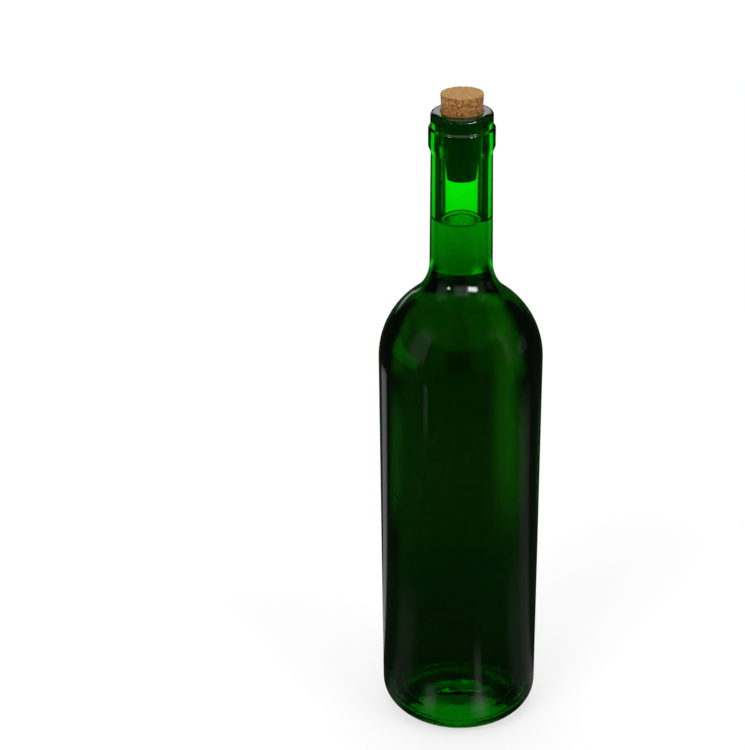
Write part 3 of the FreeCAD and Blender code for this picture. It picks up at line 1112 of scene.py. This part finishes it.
ROOM_GLOWS: Mapping[Sight, tuple[Glow, ...]] = {
    Sight.BENT: (
        Glow(180, 30, -90.0, 30.0, 0.72, 5.0, 3.0),    # the wall behind
        Glow(180, 12, 13.0, 24.0, 3.6, 6.0, 4.0),      # the light on the wine in the neck
        Glow(0, 181, 30.0, 91.0, 0.25, 0.5, 3.0),      # the ceiling
        Glow(60, 40, -90.0, 91.0, 0.2, 10.0, 3.0),     # the wall on the right
        Glow(-60, 40, -90.0, 91.0, 0.12, 10.0, 3.0),   # the wall on the left
        Glow(-90, 25, -90.0, 6.0, 0.6, 5.0, 2.0),      # the lower wall on the left
    ),
    Sight.MIRRORED: (
        Glow(38, 14, 12.0, 22.0, 18.0, 7.0, 3.5),      # the large highlight on the shoulder
        Glow(-40, 4, 12.0, 17.0, 14.0, 3.0, 2.0),      # the small one beside it
        Glow(4, 24, 10.0, 33.0, 0.6, 8.0, 6.0),        # the wall in front, between those two
        Glow(100, 10, -90.0, 12.0, 0.11, 5.0, 2.0),    # the lower wall on the right
        Glow(0, 181, 62.0, 91.0, 0.9, 0.5, 8.0),       # the ceiling
        Glow(-156, 8, -90.0, 5.0, 0.8, 5.0, 3.0),      # the lower wall behind on the left
        Glow(180, 25, 13.0, 26.0, 1.45, 8.0, 3.0),     # the wall behind
        Glow(180, 9, 26.0, 57.0, 1.2, 4.0, 4.0),       # its upper part
        Glow(-62, 17, 4.0, 42.0, 0.2, 9.0, 10.0),      # the wall in front on the left
        Glow(66, 14, 0.0, 40.0, 0.14, 8.0, 10.0),      # the wall in front on the right
    ),
}


def add_up(
    tree: bpy.types.NodeTree,
    glows: Sequence[Glow],
    way: bpy.types.NodeSocket,
    extent: bpy.types.NodeSocket,
    dark: float,
) -> bpy.types.NodeSocket:
    """Add up lit patches over a dark level.

    Args:
        tree: The tree of the floor or the world.
        glows: The patches.
        way: The angle of the place that is shaded, in degrees.
        extent: Its distance or elevation.
        dark: Brightness where there is no patch.

    Returns:
        The socket that holds the whole brightness.
    """
    total = maths(tree, "ADD", dark, 0.0)
    for glow in glows:
        total = maths(tree, "ADD", total, glow.level(tree, way, extent))
    return total


def way_of(
    tree: bpy.types.NodeTree, across: bpy.types.NodeSocket, back: bpy.types.NodeSocket
) -> bpy.types.NodeSocket:
    """Work out the way in which a place lies from the bottle.

    Args:
        tree: The tree of the floor or the world.
        across: How far the place lies to the right.
        back: How far it lies behind.

    Returns:
        The socket that holds the angle, in degrees.
    """
    return maths(tree, "DEGREES", maths(tree, "ARCTAN2", across, maths(tree, "MULTIPLY", back, -1.0)))


@dataclass(frozen=True)
class Flag:
    """A black strip bent round the bottle, which shows only where glass mirrors it.

    Each of its two edges is given by its distance from the axis and its height, in metres, and it
    runs from one way to another, in degrees.
    """

    name: str
    edges: tuple[Point, Point]
    first: float
    last: float
    steps: int = 36

    def build(self, material: bpy.types.Material) -> None:
        """Make the strip and keep it out of every sight but the mirrored one.

        Args:
            material: The black.
        """
        shape = bmesh.new()
        for step in range(self.steps + 1):
            way = math.radians(self.first + (self.last - self.first) * step / self.steps)
            for reach, height in self.edges:
                shape.verts.new((reach * math.sin(way), -reach * math.cos(way), height))
        shape.verts.ensure_lookup_table()
        for step in range(0, 2 * self.steps, 2):
            shape.faces.new([shape.verts[step + turn] for turn in (0, 1, 3, 2)])
        flag = new_piece(self.name, mesh_of(self.name, shape), material)
        flag.visible_camera = False
        flag.visible_diffuse = False
        flag.visible_transmission = False
        flag.visible_volume_scatter = False
        flag.visible_shadow = False


@dataclass(frozen=True)
class Lamp:
    """A soft square lamp that hangs at a place in metres and points at the bottle."""

    name: str
    place: tuple[float, float, float]
    size: float
    watts: float
    aim: tuple[float, float, float] = (0.0, 0.0, 0.15)

    def build(self) -> None:
        """Hang the lamp; it lights matt surfaces, and glass doesn't show it."""
        light = bpy.data.lights.new(self.name, "AREA")
        light.shape, light.size, light.energy = "SQUARE", self.size, self.watts
        made = bpy.data.objects.new(self.name, light)
        made.location = self.place
        made.rotation_euler = (Vector(self.aim) - Vector(self.place)).to_track_quat("-Z", "Y").to_euler()
        made.visible_camera = False
        made.visible_glossy = False
        made.visible_transmission = False
        bpy.context.scene.collection.objects.link(made)


@dataclass
class Studio:
    """A white floor and room, soft lamps, and the panels and dark gaps that shape the glass.

    What the eye sees directly is white. Light that the glass bends or mirrors comes from the same
    room with its panels: white behind, dim at the sides, and soft boxes in front. The flags keep
    the shoulder from mirroring a box twice.
    """

    floor_size: float = 12.0
    near_glow: float = 0.62
    far_glow: float = 1.0
    glow_bounds: Point = (0.5, 2.6)
    floor_grey: str = "a8a8a8"
    flag_black: str = "040404"
    dim_bent: float = 0.03
    dim_mirrored: float = 0.015
    room_light: float = 0.5
    flags: tuple[Flag, ...] = (
        Flag("front_flag", ((0.056, 0.185), (0.056, 0.229)), -36, 48),
        Flag("lid_flag", ((0.019, 0.283), (0.080, 0.283)), -180, 180),
    )
    lamps: tuple[Lamp, ...] = (
        Lamp("key_lamp", (-0.9, -1.2, 1.6), 0.9, 14.0),
        Lamp("fill_lamp", (1.2, -0.8, 1.3), 1.0, 8.0),
        Lamp("top_lamp", (0.0, 0.4, 1.8), 1.2, 10.0),
    )

    def dim(self, sight: Sight) -> float:
        """Brightness of the room where no panel is lit."""
        return self.dim_bent if sight is Sight.BENT else self.dim_mirrored

    def floor_material(self) -> bpy.types.Material:
        """Build the floor's finish: white and shadowed to the eye, lit and dim in places for glass.

        Returns:
            The material.
        """
        made, tree, output = new_material("white_floor")
        path = add_node(tree, "ShaderNodeLightPath").outputs
        place = add_node(tree, "ShaderNodeTexCoord").outputs["Object"]
        parts = add_node(tree, "ShaderNodeSeparateXYZ", None, {0: place}).outputs
        way = way_of(tree, parts[0], parts[1])
        distance = length_of(tree, place)
        lit = {}
        for sight in Sight:
            level = add_up(tree, FLOOR_GLOWS[sight], way, distance, self.dim(sight))
            lit[sight] = add_node(tree, "ShaderNodeEmission", None, {
                "Color": linear("ffffff"), "Strength": level}).outputs[0]
        even = ramp_between(tree, distance, *self.glow_bounds, self.near_glow, self.far_glow)
        white = add_node(tree, "ShaderNodeEmission", None, {"Color": linear("ffffff"), "Strength": even})
        matt = add_node(tree, "ShaderNodeBsdfDiffuse", None, {"Color": linear(self.floor_grey)})
        direct = add_node(tree, "ShaderNodeAddShader", None, {0: white.outputs[0], 1: matt.outputs[0]})
        glassy = add_node(tree, "ShaderNodeMixShader", None, {
            0: path["Is Transmission Ray"], 1: lit[Sight.MIRRORED], 2: lit[Sight.BENT]})
        bounced = maths(tree, "MAXIMUM", path["Is Glossy Ray"], path["Is Transmission Ray"])
        mixed = add_node(tree, "ShaderNodeMixShader", None, {
            0: bounced, 1: direct.outputs[0], 2: glassy.outputs[0]})
        tree.links.new(mixed.outputs[0], output.inputs["Surface"])
        return made

    def build_floor(self) -> None:
        """Lay the floor under the object."""
        shape = bmesh.new()
        bmesh.ops.create_grid(shape, x_segments=1, y_segments=1, size=self.floor_size / 2)
        new_piece("floor", mesh_of("floor", shape), self.floor_material())

    def build_flags(self) -> None:
        """Stand the flags round the shoulder."""
        black, tree, output = new_material("black_flag")
        dull = add_node(tree, "ShaderNodeEmission", None, {"Color": linear(self.flag_black), "Strength": 1.0})
        tree.links.new(dull.outputs[0], output.inputs["Surface"])
        for flag in self.flags:
            flag.build(black)

    def build_world(self) -> None:
        """Make the room: white for the eye, soft for matt surfaces, and lit by its panels for glass."""
        world = bpy.data.worlds.new("studio")
        world.use_nodes = True
        bpy.context.scene.world = world
        tree = world.node_tree
        tree.nodes.clear()
        path = add_node(tree, "ShaderNodeLightPath").outputs
        direction = add_node(tree, "ShaderNodeTexCoord").outputs["Generated"]
        parts = add_node(tree, "ShaderNodeSeparateXYZ", None, {0: direction}).outputs
        way = way_of(tree, parts[0], parts[1])
        rise = maths(tree, "DEGREES", maths(tree, "ARCSINE", parts[2]))
        levels = {sight: add_up(tree, ROOM_GLOWS[sight], way, rise, self.dim(sight)) for sight in Sight}
        bent = path["Is Transmission Ray"]
        mirrored = maths(tree, "MAXIMUM", maths(tree, "SUBTRACT", path["Is Glossy Ray"], bent), 0.0)
        shares = (
            (path["Is Camera Ray"], 1.0),
            (bent, levels[Sight.BENT]),
            (mirrored, levels[Sight.MIRRORED]),
        )
        total = maths(tree, "MULTIPLY", path["Is Diffuse Ray"], self.room_light)
        for seen, level in shares:
            total = maths(tree, "ADD", total, maths(tree, "MULTIPLY", seen, level))
        background = add_node(tree, "ShaderNodeBackground", None, {
            "Color": linear("ffffff"), "Strength": total})
        output = add_node(tree, "ShaderNodeOutputWorld")
        tree.links.new(background.outputs[0], output.inputs["Surface"])

    def build(self) -> None:
        """Make the whole studio."""
        self.build_floor()
        self.build_flags()
        self.build_world()
        for lamp in self.lamps:
            lamp.build()


@dataclass(frozen=True)
class Viewpoint:
    """The camera: above and in front of the bottle, turned a little away from it."""

    place: tuple[float, float, float] = (0.0, -0.7435, 0.5483)
    down: float = math.radians(26.53)
    aside: float = math.radians(3.10)
    roll: float = math.radians(1.02)
    lens_mm: float = 87.1

    def build(self) -> None:
        """Make the camera and use it."""
        level = Vector((math.cos(self.aside), math.sin(self.aside), 0))
        ahead = Vector((-math.sin(self.aside), math.cos(self.aside), 0))
        forward = ahead * math.cos(self.down) - Vector((0, 0, 1)) * math.sin(self.down)
        above = ahead * math.sin(self.down) + Vector((0, 0, 1)) * math.cos(self.down)
        right = level * math.cos(self.roll) - above * math.sin(self.roll)
        up = level * math.sin(self.roll) + above * math.cos(self.roll)
        data = bpy.data.cameras.new("camera")
        data.lens = self.lens_mm
        made = bpy.data.objects.new("camera", data)
        turn = Matrix((right, up, -forward)).transposed().to_4x4()
        made.matrix_world = Matrix.Translation(self.place) @ turn
        bpy.context.scene.collection.objects.link(made)
        bpy.context.scene.camera = made


def main() -> None:
    """Build the object, its studio and the camera, and report each piece."""
    logging.basicConfig(level=logging.INFO, format="%(name)s: %(message)s")
    bottle_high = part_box("bottle")[1]
    wine_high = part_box("wine")[1]
    cork_low, cork_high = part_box("cork")

    sizes = GlassSizes(radius=bottle_high.x / MM, mouth=bottle_high.z / MM)
    stopper = Stopper(
        low=cork_low.z / MM,
        high=cork_high.z / MM,
        mouth=sizes.mouth,
        bore=sizes.bore,
        head=cork_high.x / MM,
    )
    Glass(sizes).build()
    Filling(sizes, top=wine_high.z / MM).build()
    stopper.build()
    Studio().build()
    Viewpoint().build()

    scene = bpy.context.scene
    scene.view_settings.view_transform = "Standard"
    scene.cycles.max_bounces = THROUGH_BOUNCES
    scene.cycles.transmission_bounces = THROUGH_BOUNCES
    scene.cycles.glossy_bounces = MIRROR_BOUNCES


if __name__ == "__main__":
    main()
